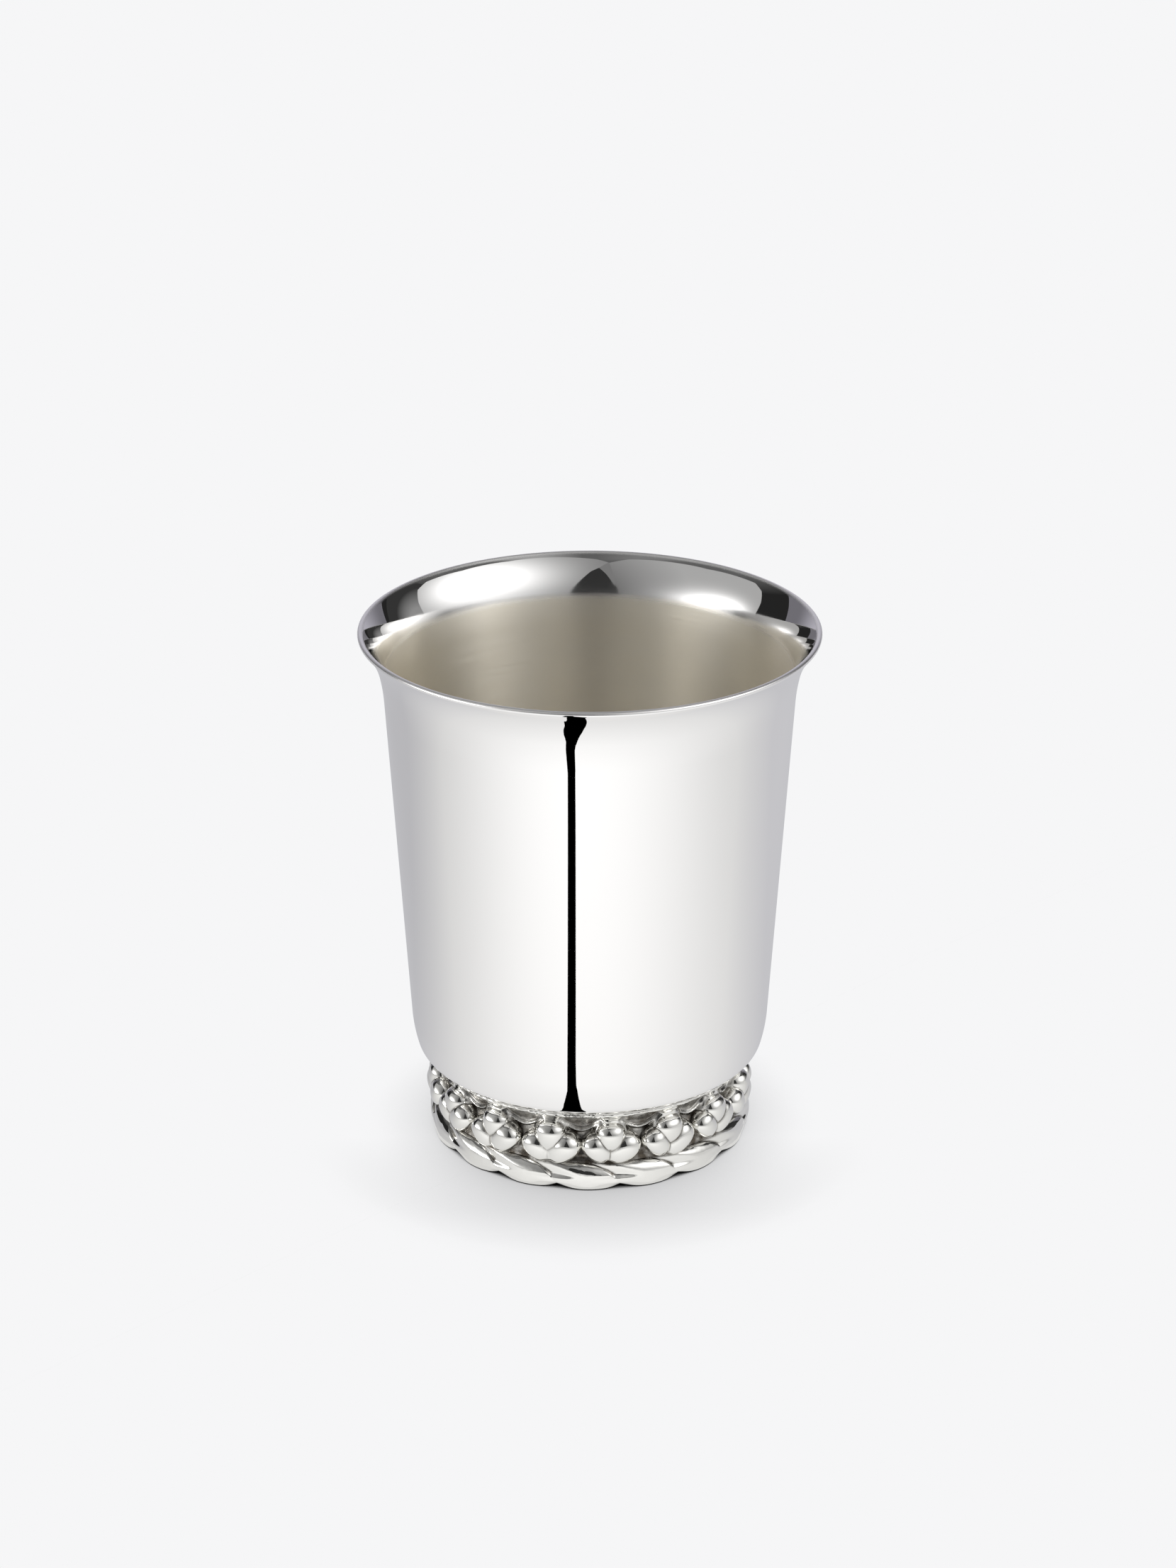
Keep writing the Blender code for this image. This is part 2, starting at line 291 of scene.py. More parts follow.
def satin_sterling():
    """The mopped inside: fine lines round the cup that stretch each reflection up and down.

    The satin is a soft warm grey. Above it the throat is polished, with a trace of haze.
    """
    material, tree, shader, place = new_metal("satin_sterling")
    shader.inputs["Anisotropic"].default_value = 1
    shader.inputs["Anisotropic Rotation"].default_value = 0.25
    tangent = add_node(tree, "ShaderNodeTangent", direction_type="RADIAL", axis="Z")
    tree.links.new(tangent.outputs[0], shader.inputs["Tangent"])
    around = round_the_axis(tree, place)
    lines = add_node(
        tree, "ShaderNodeTexNoise", {"Vector": around, "Scale": 1 / LINE_SPACING, "Detail": 4}
    )
    clouds = add_node(
        tree, "ShaderNodeTexNoise", {"Vector": place, "Scale": 1 / CLOUD_SIZE, "Detail": 2}
    )
    tone = add_node(
        tree,
        "ShaderNodeMix",
        {
            "Factor": clouds.outputs[0],
            "A": linear(SATIN_TONES[0]),
            "B": linear(SATIN_TONES[1]),
        },
        data_type="RGBA",
    )
    height = add_node(tree, "ShaderNodeSeparateXYZ", {"Vector": place}).outputs["Z"]
    edge = add_node(
        tree,
        "ShaderNodeMapRange",
        {"Value": height, "From Min": POLISH_LINE, "From Max": SATIN_LINE},
        interpolation_type="SMOOTHSTEP",
    )
    bare = add_node(
        tree, "ShaderNodeMapRange", {"Value": edge.outputs[0], "To Min": 1, "To Max": 0.9}
    )
    tree.links.new(bare.outputs[0], shader.inputs["Metallic"])
    tarnish = add_node(
        tree,
        "ShaderNodeMix",
        {
            "Factor": edge.outputs[0],
            "A": linear(POLISHED_SILVER),
            "B": tone.outputs["Result"],
        },
        data_type="RGBA",
    )
    tree.links.new(tarnish.outputs["Result"], shader.inputs["Base Color"])
    throat = add_node(
        tree,
        "ShaderNodeMapRange",
        {
            "Value": height,
            "From Min": THROAT_TOP,
            "From Max": POLISH_LINE,
            "To Min": THROAT_TOP_ROUGHNESS,
            "To Max": THROAT_ROUGHNESS,
        },
    )
    matt = add_node(
        tree,
        "ShaderNodeMapRange",
        {"Value": edge.outputs[0], "To Min": throat.outputs[0], "To Max": SATIN_ROUGHNESS},
    )
    grain = add_node(
        tree,
        "ShaderNodeMapRange",
        {
            "Value": lines.outputs[0],
            "From Min": 0.3,
            "From Max": 0.7,
            "To Min": 0.85,
            "To Max": 1.15,
        },
    )
    roughness = add_node(
        tree, "ShaderNodeMath", {0: matt.outputs[0], 1: grain.outputs[0]}, operation="MULTIPLY"
    )
    tree.links.new(roughness.outputs[0], shader.inputs["Roughness"])
    bump = add_node(
        tree,
        "ShaderNodeBump",
        {"Strength": 0.05, "Distance": LINE_DEPTH, "Height": lines.outputs[0]},
    )
    tree.links.new(bump.outputs[0], shader.inputs["Normal"])
    return material


outer_line = bowl_outer_line()
outer = [point for point, _ in outer_line]
inner = [
    point + sheet_at(point.y) * Vector((-math.sin(heading), math.cos(heading)))
    for point, heading in outer_line
]
lip_heading = outer_line[-1][1]
lip_middle = (outer[-1] + inner[-1]) / 2
lip_half = (outer[-1] - inner[-1]).length / 2
lip_edge = []
for step in range(1, LIP_STEPS):
    angle = lip_heading + math.pi / 2 - math.pi * step / LIP_STEPS
    lip_edge.append(lip_middle + lip_half * Vector((math.cos(angle), math.sin(angle))))
bowl_mesh = turned("spun_bowl", inner + lip_edge + outer[::-1], BOWL_SEGMENTS)
bowl_metals = [polished_sterling(), satin_sterling()]
show("spun_bowl", bowl_mesh, bowl_metals, "polished_silver", "bowl")
for face in bowl_mesh.polygons:
    outward = Vector((face.center.x, face.center.y, 0)).dot(face.normal)
    inside = outward < 0 or (face.normal.z > 0.5 and face.center.z < 2 * BASE_HEIGHT)
    if inside and face.center.z < THROAT_TOP:
        face.material_index = 1

# The foot collar. A cast ring, soldered under the base, that the buds grow from. It narrows to
# a waist, spreads to a thin bead at the top, and is scooped out between the necks. The scoops
# are never reached by the polishing mop, so they keep their tarnish, and they are darkened
# further as painted shade, like the collar low down behind the buds.
BUDS = 16
BUD_TURN = 2 * math.pi / BUDS
FIRST_BUD = math.radians(7.9)
FOOT_INNER_RADIUS = 21.8 * MM
COLLAR_LOW, COLLAR_HIGH = (corner.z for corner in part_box("foot_collar"))
COLLAR_COLUMNS = 48
COLLAR_ROWS = 56
# From here on the collar's heights, radii and widths are in millimetres.
BEAD_HEIGHT = 13.05
BEAD_RADIUS = 25.75
BEAD_WIDTH = 0.34
NECK_LINE = [(8.5, 24.3), (10.6, 24.9), (11.6, 24.85), (12.4, 25.1), (13.1, 25.6)]
POCKET_LINE = [
    (4.4, 25.0), (5.5, 24.6), (7.0, 24.1), (9.2, 23.5), (10.6, 23.6), (12.1, 24.1), (12.9, 25.1),
]
NECK_HALF_WIDTH = [(9.5, 2.2), (10.6, 1.35), (11.6, 1.3), (12.4, 1.9), (12.9, 3.3), (13.1, 4.6)]
SCOOP_START, SCOOP_END = -0.45, 0.35
SWAG_HEIGHTS = (9.8, 12.3)
SWAG_STEEPNESS = 1.6
SWAG_WIDTH = 0.24
SWAG_RELIEF = 0.55
SWAG_ENDS = (0.25, 0.45)
MANTLE_CENTRE = 8.8
MANTLE_HALF_SIZE = (2.55, 2.85)
MANTLE_EDGE = (1.3, 1.02)
MANTLE_RADIUS = 24.7
# Below these heights the collar, behind the buds, is darkened in full as painted shade.
SHADED_HEIGHTS = (9.5, 8.5)
# How much the scoops are darkened, as tarnish and painted shade; less on swag, mantle and bead.
POCKET_TARNISH_AND_SHADE = 0.86
SWAG_WEAR = 0.7
MANTLE_WEAR = 0.4
BEAD_WEAR = 0.85
COLLAR_GRAIN = 0.05
POCKET_GRAIN_LOSS = 0.02
JOINT_GRAIN = 0.1
JOINT_HEIGHTS = (12.5, 12.9)
# The cast skin's grain: its size, then the fall-off, scale step and number of its layers.
CAST_GRAIN = 0.8 * MM
GRAIN_LAYERS = (1.0, 2.0, 3)
CAST_SILVER = "EEEDE9"
# The tone that grooves, scoops and hidden places are darkened to, as tarnish and painted shade.
GROOVE_TARNISH_AND_SHADE = "544E46"
PATCH_SIZE = 1.6 * MM
PORE_SIZE = 0.5 * MM
PORE_DEPTH = 0.05 * MM


def along(line, value):
    """Reads a soft curve through (value, result) points."""
    if value <= line[0][0]:
        return line[0][1]
    for (start, before), (end, after) in zip(line, line[1:]):
        if value <= end:
            return before + (after - before) * smooth(start, end, value)
    return line[-1][1]


def around_cup(radius, azimuth, height):
    """A point at this radius and height, at an azimuth counted from the front."""
    return Vector((radius * math.sin(azimuth), -radius * math.cos(azimuth), height))


def collar_surface(across, height):
    """The collar's radius in mm, and its tarnish and painted shade, this far in mm from a neck's
    middle.
    """
    neck = along(NECK_LINE, height)
    pocket = along(POCKET_LINE, height)
    share = across / (BEAD_RADIUS * BUD_TURN / 2)
    swag_fall = (SWAG_HEIGHTS[1] - SWAG_HEIGHTS[0]) * (1 - share) ** 2 * SWAG_STEEPNESS
    swag_height = SWAG_HEIGHTS[0] + swag_fall
    ridge = math.exp(-(((height - swag_height) / SWAG_WIDTH) ** 2)) * smooth(*SWAG_ENDS, share)
    pocket += SWAG_RELIEF * ridge
    ring = math.hypot(across / MANTLE_HALF_SIZE[0], (height - MANTLE_CENTRE) / MANTLE_HALF_SIZE[1])
    mantle = smooth(*MANTLE_EDGE, ring)
    pocket += max(MANTLE_RADIUS - pocket, 0) * mantle
    half_width = along(NECK_HALF_WIDTH, height)
    scooped = smooth(half_width + SCOOP_START, half_width + SCOOP_END, across)
    radius = neck + (pocket - neck) * scooped
    bead = math.exp(-(((height - BEAD_HEIGHT) / BEAD_WIDTH) ** 2))
    radius += (BEAD_RADIUS - radius) * bead
    darkening = POCKET_TARNISH_AND_SHADE * scooped * (1 - SWAG_WEAR * ridge) * (1 - MANTLE_WEAR * mantle)
    return radius, max(darkening, smooth(*SHADED_HEIGHTS, height)) * (1 - BEAD_WEAR * bead)


def store_recess(mesh, values):
    """Keeps for each vertex its tarnish and painted shade: 0 on the open metal, 1 in a groove."""
    layer = mesh.attributes.new("recess", "FLOAT", "POINT")
    layer.data.foreach_set("value", np.array(values, dtype=np.float32))


def ring_mesh(name, columns, recess):
    """A closed ring through columns of points, each column one section, with its recess values."""
    count = len(columns[0])
    faces = []
    for column in range(len(columns)):
        here = column * count
        after = (column + 1) % len(columns) * count
        for row in range(count):
            above = (row + 1) % count
            faces.append((here + row, after + row, after + above, here + above))
    mesh = bpy.data.meshes.new(name)
    mesh.from_pydata([tuple(point) for column in columns for point in column], [], faces)
    store_recess(mesh, [value for column in recess for value in column])
    return mesh


def cast_sterling():
    """Cast silver: bright where hands and mop reach it, brown-grey down in the grooves and hidden
    places, partly tarnish and partly painted shade.

    The open metal is a mirror. The sheltered skin is matt and a little pitted from the mould.
    """
    material, tree, shader, place = new_metal("cast_sterling")
    depth = add_node(tree, "ShaderNodeAttribute", attribute_name="recess").outputs["Fac"]
    patches = add_node(
        tree, "ShaderNodeTexNoise", {"Vector": place, "Scale": 1 / PATCH_SIZE, "Detail": 3}
    )
    uneven = add_node(
        tree,
        "ShaderNodeMapRange",
        {
            "Value": patches.outputs[0],
            "From Min": 0.3,
            "From Max": 0.7,
            "To Min": 0.6,
            "To Max": 1.15,
        },
    )
    # The grooves' tarnish and painted shade, spread unevenly in patches.
    tarnish_and_shade = add_node(
        tree,
        "ShaderNodeMath",
        {0: depth, 1: uneven.outputs[0]},
        operation="MULTIPLY",
        use_clamp=True,
    )
    tone = add_node(
        tree,
        "ShaderNodeMix",
        {"Factor": tarnish_and_shade.outputs[0], "A": linear(CAST_SILVER), "B": linear(GROOVE_TARNISH_AND_SHADE)},
        data_type="RGBA",
    )
    tree.links.new(tone.outputs["Result"], shader.inputs["Base Color"])
    roughness = add_node(
        tree, "ShaderNodeMapRange", {"Value": tarnish_and_shade.outputs[0], "To Min": 0.05, "To Max": 0.34}
    )
    tree.links.new(roughness.outputs[0], shader.inputs["Roughness"])
    pores = add_node(
        tree, "ShaderNodeTexNoise", {"Vector": place, "Scale": 1 / PORE_SIZE, "Detail": 5}
    )
    bump_strength = add_node(
        tree, "ShaderNodeMapRange", {"Value": depth, "To Min": 0.03, "To Max": 0.22}
    )
    bump = add_node(
        tree,
        "ShaderNodeBump",
        {
            "Strength": bump_strength.outputs[0],
            "Distance": PORE_DEPTH,
            "Height": pores.outputs[0],
        },
    )
    tree.links.new(bump.outputs[0], shader.inputs["Normal"])
    return material


cast_metal = cast_sterling()
collar_columns = []
collar_recess = []
for column in range(BUDS * COLLAR_COLUMNS):
    share = (column % COLLAR_COLUMNS) / COLLAR_COLUMNS
    across = min(share, 1 - share) * BUD_TURN * BEAD_RADIUS
    azimuth = FIRST_BUD + BUD_TURN * column / COLLAR_COLUMNS
    points = [
        around_cup(FOOT_INNER_RADIUS, azimuth, COLLAR_HIGH),
        around_cup(FOOT_INNER_RADIUS, azimuth, COLLAR_LOW),
    ]
    recess = [1, 1]
    for row in range(COLLAR_ROWS + 1):
        height = COLLAR_LOW + (COLLAR_HIGH - COLLAR_LOW) * row / COLLAR_ROWS
        radius, darkening = collar_surface(across, height / MM)
        point = around_cup(radius * MM, azimuth, height)
        grain = noise.fractal(point / CAST_GRAIN, *GRAIN_LAYERS)
        rough = COLLAR_GRAIN - POCKET_GRAIN_LOSS * darkening
        rough += JOINT_GRAIN * smooth(*JOINT_HEIGHTS, height / MM)
        points.append(around_cup((radius + rough * grain) * MM, azimuth, height))
        recess.append(darkening)
    collar_columns.append(points)
    collar_recess.append(recess)
collar_mesh = ring_mesh("cast_collar", collar_columns, collar_recess)
show("cast_collar", collar_mesh, [cast_metal], "cast_silver", "foot_collar")

# The solder under the bowl. A thin bead of silver solder ran round the joint between the
# collar and the base, and was left a little uneven where no file could reach it.
SOLDER_RADIUS = 25.75 * MM
SOLDER_HEIGHT = 13.62 * MM
SOLDER_HALF_WIDTH = 0.30 * MM
SOLDER_UNEVENNESS = 0.13 * MM
SOLDER_RIPPLE = 1.3 * MM
# The bead's colour is darkened evenly by this share towards the groove tone.
SOLDER_DARKENING = 0.35
SOLDER_COLUMNS = 900
SOLDER_ROWS = 12
solder_columns = []
for column in range(SOLDER_COLUMNS):
    azimuth = 2 * math.pi * column / SOLDER_COLUMNS
    centre = around_cup(SOLDER_RADIUS, azimuth, SOLDER_HEIGHT)
    ripple = noise.fractal(centre / SOLDER_RIPPLE, *GRAIN_LAYERS)
    half_width = SOLDER_HALF_WIDTH + SOLDER_UNEVENNESS * ripple
    points = []
    for row in range(SOLDER_ROWS):
        angle = 2 * math.pi * row / SOLDER_ROWS
        radius = SOLDER_RADIUS + half_width * math.cos(angle)
        height = SOLDER_HEIGHT + half_width * math.sin(angle)
        points.append(around_cup(radius, azimuth, height))
    solder_columns.append(points)
solder_recess = [[SOLDER_DARKENING] * SOLDER_ROWS] * SOLDER_COLUMNS
solder_mesh = ring_mesh("solder_bead", solder_columns, solder_recess)
show("solder_bead", solder_mesh, [cast_metal], "cast_silver")

# The bud clusters. Sixteen small castings, each one bud over two that lean apart, soldered
# side by side round the collar. Each was cleaned up by hand, so no two are quite alike.
LOBE_RADIUS = 24.1 * MM
LOBE_TAPER = 0.12
LOBE_FULLNESS = 2.25
BUD_HEART = Vector((0, -LOBE_RADIUS, 7.4 * MM))
# Each lobe is where its middle is, across and up, its half sizes in mm, and its lean in degrees.
UPPER_LOBE = ((0, 8.75 * MM), (2.42, 2.4, 2.75), 0)
LEFT_LOBE = ((-2.1 * MM, 6.7 * MM), (2.15, 2.3, 2.85), -40)
RIGHT_LOBE = ((1.8 * MM, 6.7 * MM), (2.3, 2.35, 3.15), 46)
GROOVE_WIDTH = 0.22 * MM
# How far from a groove, and how softly, the buds are darkened as tarnish and painted shade.
DARKENED_GROOVE_WIDTH = 0.42 * MM
GROOVE_DARKENING_FADE = 1.5
# Below the merge height, over this depth, the lobes run into each other and their grooves fill.
MERGE_HEIGHT = 6.0 * MM
BLURRED_BUD = 15
BLURRED_MERGE_HEIGHT = 8.2 * MM
MERGE_DEPTH = 1.6 * MM
MERGED_WIDTH = 0.9 * MM
MERGED_DARKENING_LOSS = 0.6
# The back of each bud, against the collar, is darkened from here as painted shade.
BACK_START, BACK_DEPTH = 0.2 * MM, 0.8 * MM
HAND_SHIFT = 0.10 * MM
HAND_TURN = 2.5
HAND_SIZE = 0.02
BUD_MESH_LEVEL = 5
GROOVE_REFINEMENTS = 2
REFINED_FROM = 0.45
REFINED_BACK = 0.3
LONGEST_REACH = 7 * MM
REACH_STEP = 0.001 * MM
REACH_ROUNDS = 12
REACH_ERROR = 0.01


def lobe_reach(directions, place, half_size, lean):
    """How far from the cluster's heart a lobe reaches in each direction, 0 where it doesn't."""
    centre = np.array((place[0], -LOBE_RADIUS, place[1]))
    turn = np.array(Matrix.Rotation(math.radians(lean), 3, "Y").transposed())
    start = turn @ (np.array(BUD_HEART) - centre)
    ahead = directions @ turn.T
    size = np.array(half_size) * MM

    def outside(reach):
        spot = start + ahead * reach[:, None]
        slim = 1 + LOBE_TAPER * spot[:, 2:] / size[2]
        spot = np.abs(spot / size)
        spot[:, :2] /= slim
        return (spot**LOBE_FULLNESS).sum(1) ** (1 / LOBE_FULLNESS) - 1

    reach = np.full(len(directions), LONGEST_REACH)
    for _ in range(REACH_ROUNDS):
        value = outside(reach)
        slope = (outside(reach + REACH_STEP) - value) / REACH_STEP
        reach = np.where(slope > 0, reach - value / np.maximum(slope, 1), 0)
        reach = np.maximum(reach, 0)
    return np.where(np.abs(outside(reach)) < REACH_ERROR, reach, 0)


def cluster_points(directions, lobes, merge_height):
    """The cluster's surface in these directions from its heart, and its tarnish and painted shade.
    """
    reaches = np.stack([lobe_reach(directions, *lobe) for lobe in lobes], 1)
    reaches.sort(axis=1)
    first, second = reaches[:, 2], reaches[:, 1]
    low = np.clip((merge_height - BUD_HEART.z - first * directions[:, 2]) / MERGE_DEPTH, 0, 1)
    width = GROOVE_WIDTH + (MERGED_WIDTH - GROOVE_WIDTH) * low
    closeness = np.clip(1 - (first - second) / width, 0, 1)
    distance = first + closeness**2 * width / 4
    points = np.array(BUD_HEART) + directions * distance[:, None]
    groove = np.clip(1 - (first - second) / DARKENED_GROOVE_WIDTH, 0, 1) ** GROOVE_DARKENING_FADE
    groove *= 1 - MERGED_DARKENING_LOSS * low
    # The back of the bud, against the collar, is darkened as painted shade.
    behind = np.clip((points[:, 1] + LOBE_RADIUS + BACK_START) / BACK_DEPTH, 0, 1)
    return points, np.maximum(groove, behind)


def directions_of(work):
    """Unit directions of a bmesh's vertices."""
    spots = np.array([vert.co for vert in work.verts])
    return spots / np.linalg.norm(spots, axis=1)[:, None]


def cast_cluster(name, chance, merge_height):
    """One cluster's mesh, finest along its grooves, with small differences left by the hand."""
    lobes = []
    for (across, height), half_size, lean in (UPPER_LOBE, LEFT_LOBE, RIGHT_LOBE):
        place = (across + chance.gauss(0, HAND_SHIFT), height + chance.gauss(0, HAND_SHIFT))
        size = [part * (1 + chance.gauss(0, HAND_SIZE)) for part in half_size]
        lobes.append((place, size, lean + chance.gauss(0, HAND_TURN)))
    work = bmesh.new()
    bmesh.ops.create_icosphere(work, subdivisions=BUD_MESH_LEVEL, radius=1)
    for _ in range(GROOVE_REFINEMENTS):
        groove = cluster_points(directions_of(work), lobes, merge_height)[1]
        work.verts.ensure_lookup_table()
        crossing = [
            edge
            for edge in work.edges
            if max(groove[edge.verts[0].index], groove[edge.verts[1].index]) > REFINED_FROM
            and edge.verts[0].co.y < REFINED_BACK
        ]
        bmesh.ops.subdivide_edges(work, edges=crossing, cuts=1, use_grid_fill=True)
        bmesh.ops.triangulate(work, faces=work.faces)
        work.verts.index_update()
    points, groove = cluster_points(directions_of(work), lobes, merge_height)
    for vert, point in zip(work.verts, points):
        vert.co = point
    mesh = bpy.data.meshes.new(name)
    work.to_mesh(mesh)
    work.free()
    store_recess(mesh, groove)
    return mesh


# The buds and the leaves stand so near the table that the dark slit below never shows in them.
foot_metal = bpy.data.collections.new("foot_metal")
hand = random.Random(16)
for bud in range(BUDS):
    node = f"bud_cluster_{bud + 1:02d}"
    merge_height = BLURRED_MERGE_HEIGHT if bud == BLURRED_BUD else MERGE_HEIGHT
    bud_mesh = cast_cluster(f"cast_bud_{bud + 1:02d}", hand, merge_height)
    bud_mesh.transform(Matrix.Rotation(FIRST_BUD + bud * BUD_TURN, 4, "Z"))
    cluster = show(bud_mesh.name, bud_mesh, [cast_metal], "cast_silver", node)
    foot_metal.objects.link(cluster)

# The leaf garland. A cast ring of sixteen overlapping leaves, each with its round end lying on
# the start of the next. The cup stands on its plain inner edge, and the leaves curl clear of
# the table.
FIRST_NOTCH = math.radians(12.2)
CONTACT_RADIUS = 23.6 * MM
LEAF_COLUMNS = 72
LEAF_ROWS = 40
# From here on the garland's heights and radii are in millimetres.
GARLAND_HEIGHT = 5.2
GROOVE_SLANT = -1.47
GROOVE_BEND = (2.4, -1.3)
# The upper ends of the grooves between leaves are darkened as tarnish and painted shade.
GROOVE_DARK_TURN = 0.04
GROOVE_DARK_HEIGHTS = (2.1, 2.7)
LEAF_MIDDLE = 2.1
LEAF_DROP = 4.0
LEAF_ROOT = 23.95
LEAF_RELIEF = 2.2
LEAF_FULLNESS = 2.3
LEAF_CROWN_LINE = [(0.0, 2.1), (0.5, 1.9), (1.0, 1.0)]
LEAF_TOP = [(0.0, 5.15), (0.35, 5.1), (0.75, 4.7), (1.0, 4.3)]
LEAF_CROWN = 0.44
# Above these heights the leaf tops, tucked under the buds, are darkened as painted shade.
SHADED_LEAF_HEIGHTS = (3.9, 4.5)
# A leaf swells, as shares of its relief, from its hem by the table through its skirt to its upper
# part, which rises from its start, under the leaf before, to the nose that lies on the next leaf.
LEAF_HEM, HEM_SWELL = 0.62, 0.38
LEAF_SKIRT, SKIRT_SWELL = 0.9, 0.1
SKIRT_HEIGHTS = (0.3, 1.4)
UPPER_HEIGHTS = (1.9, 2.7)
LEAF_START, START_SWELL = 0.66, 0.34
START_TURNS = (-0.1, 0.5)
NOSE_FOOT, NOSE_SWELL = 0.58, 0.42
NOSE_TURN, NOSE_LENGTH = 0.94, 0.06
NOSE_FULLNESS = 2.2
CROWN_LIFT = 0.28
NOTCH_LIFT = 0.72
LEAF_GRAIN = 0.01
GROOVE_GRAIN = 0.05


def leaf_swell(turn, height):
    """How far a leaf stands out at this share of its turn, from 0 at its root to 1 on the crown."""
    crown = math.sin(math.pi * turn ** (math.log(0.5) / math.log(LEAF_CROWN)))
    hem = LEAF_HEM + HEM_SWELL * crown
    skirt = LEAF_SKIRT + SKIRT_SWELL * crown
    low = hem + (skirt - hem) * smooth(*SKIRT_HEIGHTS, height)
    start = LEAF_START + START_SWELL * smooth(*START_TURNS, turn)
    along_nose = max(turn - NOSE_TURN, 0) / NOSE_LENGTH
    nose = max(1 - along_nose**NOSE_FULLNESS, 0) ** (1 / NOSE_FULLNESS)
    high = start * (NOSE_FOOT + NOSE_SWELL * nose)
    return low + (high - low) * smooth(*UPPER_HEIGHTS, height)


def rounded(offset):
    """The outline of a leaf's section: 1 on its crown line, 0 at its edge."""
    return max(1 - max(offset, 0) ** LEAF_FULLNESS, 0) ** (1 / LEAF_FULLNESS)


def garland_surface(turn, height):
    """The garland's radius in mm and its tarnish and painted shade, at this share of a leaf and
    height.
    """
    crown_line = along(LEAF_CROWN_LINE, turn)
    over = rounded((height - crown_line) / (along(LEAF_TOP, turn) - crown_line))
    under = rounded((LEAF_MIDDLE - height) / LEAF_DROP)
    radius = LEAF_ROOT + LEAF_RELIEF * leaf_swell(turn, height) * over * under
    # The grooves and the tops under the buds are darkened as tarnish and painted shade.
    groove_near = math.exp(-((min(turn, 1 - turn) / GROOVE_DARK_TURN) ** 2))
    darkening = groove_near * smooth(*GROOVE_DARK_HEIGHTS, height)
    return radius, max(darkening, smooth(*SHADED_LEAF_HEIGHTS, height))


def groove_turn(height):
    """How far round a groove has moved at this height, steep below and leaning over above."""
    bend = GROOVE_BEND[1] * max(height - GROOVE_BEND[0], 0) ** 2
    return math.radians(GROOVE_SLANT * height + bend)


garland_columns = []
garland_recess = []
for column in range(BUDS * LEAF_COLUMNS):
    turn = (column % LEAF_COLUMNS) / LEAF_COLUMNS
    start = FIRST_NOTCH + BUD_TURN * column / LEAF_COLUMNS
    lift = CROWN_LIFT + NOTCH_LIFT * (1 - math.sin(math.pi * turn)) ** 2
    points = []
    recess = []
    for row in range(LEAF_ROWS + 1):
        height = lift + (GARLAND_HEIGHT - lift) * row / LEAF_ROWS
        radius, darkening = garland_surface(turn, height)
        azimuth = start + groove_turn(height)
        point = around_cup(radius * MM, azimuth, height * MM)
        grain = noise.fractal(point / CAST_GRAIN, *GRAIN_LAYERS)
        rough = LEAF_GRAIN + GROOVE_GRAIN * darkening
        points.append(around_cup((radius + rough * grain) * MM, azimuth, height * MM))
        recess.append(darkening)
    azimuth = start + groove_turn(GARLAND_HEIGHT)
    points.append(around_cup(FOOT_INNER_RADIUS, azimuth, GARLAND_HEIGHT * MM))
    points.append(around_cup(FOOT_INNER_RADIUS, start, 0))
    points.append(around_cup(CONTACT_RADIUS, start, 0))
    recess += [1, 1, 1]
    garland_columns.append(points)
    garland_recess.append(recess)
garland_mesh = ring_mesh("cast_garland", garland_columns, garland_recess)
garland = show("cast_garland", garland_mesh, [cast_metal], "cast_silver", "leaf_garland")
foot_metal.objects.link(garland)

# The studio. The camera sees a pale table in a white room. The metal sees other things, which
# the camera doesn't: a lit sheet far below with a dark slit, the table close round the foot,
# two graded softboxes with a dark gap between them, a side card, a grey wall and a dim ceiling.
ROOM_SIZE = 12
PALE_TABLE = "F6F6F7"
SHADOW_REACH = 24 * MM


def stage_mesh(name, mesh, material, camera=False, metal=True):
    """A thing of the studio, seen by the camera or only in the metal, that blocks no light."""
    mesh.materials.append(material)
    thing = bpy.data.objects.new(name, mesh)
    bpy.context.scene.collection.objects.link(thing)
    thing.visible_camera = camera
    thing.visible_diffuse = camera
    thing.visible_glossy = metal
    thing.visible_shadow = camera
    return thing


def flat_mesh(name, outline):
    """One flat face through these points."""
    mesh = bpy.data.meshes.new(name)
    mesh.from_pydata([tuple(point) for point in outline], [], [range(len(outline))])
    return mesh


def glowing(name):
    """An empty material that only gives off light, with its tree, emission and position."""
    material = bpy.data.materials.new(name)
    material.use_nodes = True
    tree = material.node_tree
    tree.nodes.remove(tree.nodes["Principled BSDF"])
    glow = add_node(tree, "ShaderNodeEmission")
    tree.links.new(glow.outputs[0], tree.nodes["Material Output"].inputs["Surface"])
    place = add_node(tree, "ShaderNodeTexCoord").outputs["Object"]
    return material, tree, glow, place


def square(size, height):
    """The corners of a level square round the axis."""
    half = size / 2
    return [(x * half, y * half, height) for x, y in ((-1, -1), (1, -1), (1, 1), (-1, 1))]


# The table. Smooth pale card, drawn as it looks in soft light: each spot is as bright as the
# share of the sky that it still sees past the cup. The shadow reaches further in front of the
# cup than behind it, and is nearly black in the crack under the leaves.
TIGHT_SHADOW_TONE = 0.64
WIDE_SHADOW_SOFTNESS = 0.74
table_paint, tree, glow, place = glowing("pale_table")
glow.inputs["Color"].default_value = linear(PALE_TABLE)
nearness = add_node(
    tree, "ShaderNodeAmbientOcclusion", {"Distance": SHADOW_REACH}, samples=16
).outputs["AO"]
wide_shadow = add_node(
    tree, "ShaderNodeMath", {0: nearness, 1: WIDE_SHADOW_SOFTNESS}, operation="POWER"
)
tight_shadow = add_node(
    tree,
    "ShaderNodeMapRange",
    {"Value": nearness, "From Min": 0.3, "From Max": 0.75, "To Min": TIGHT_SHADOW_TONE},
)
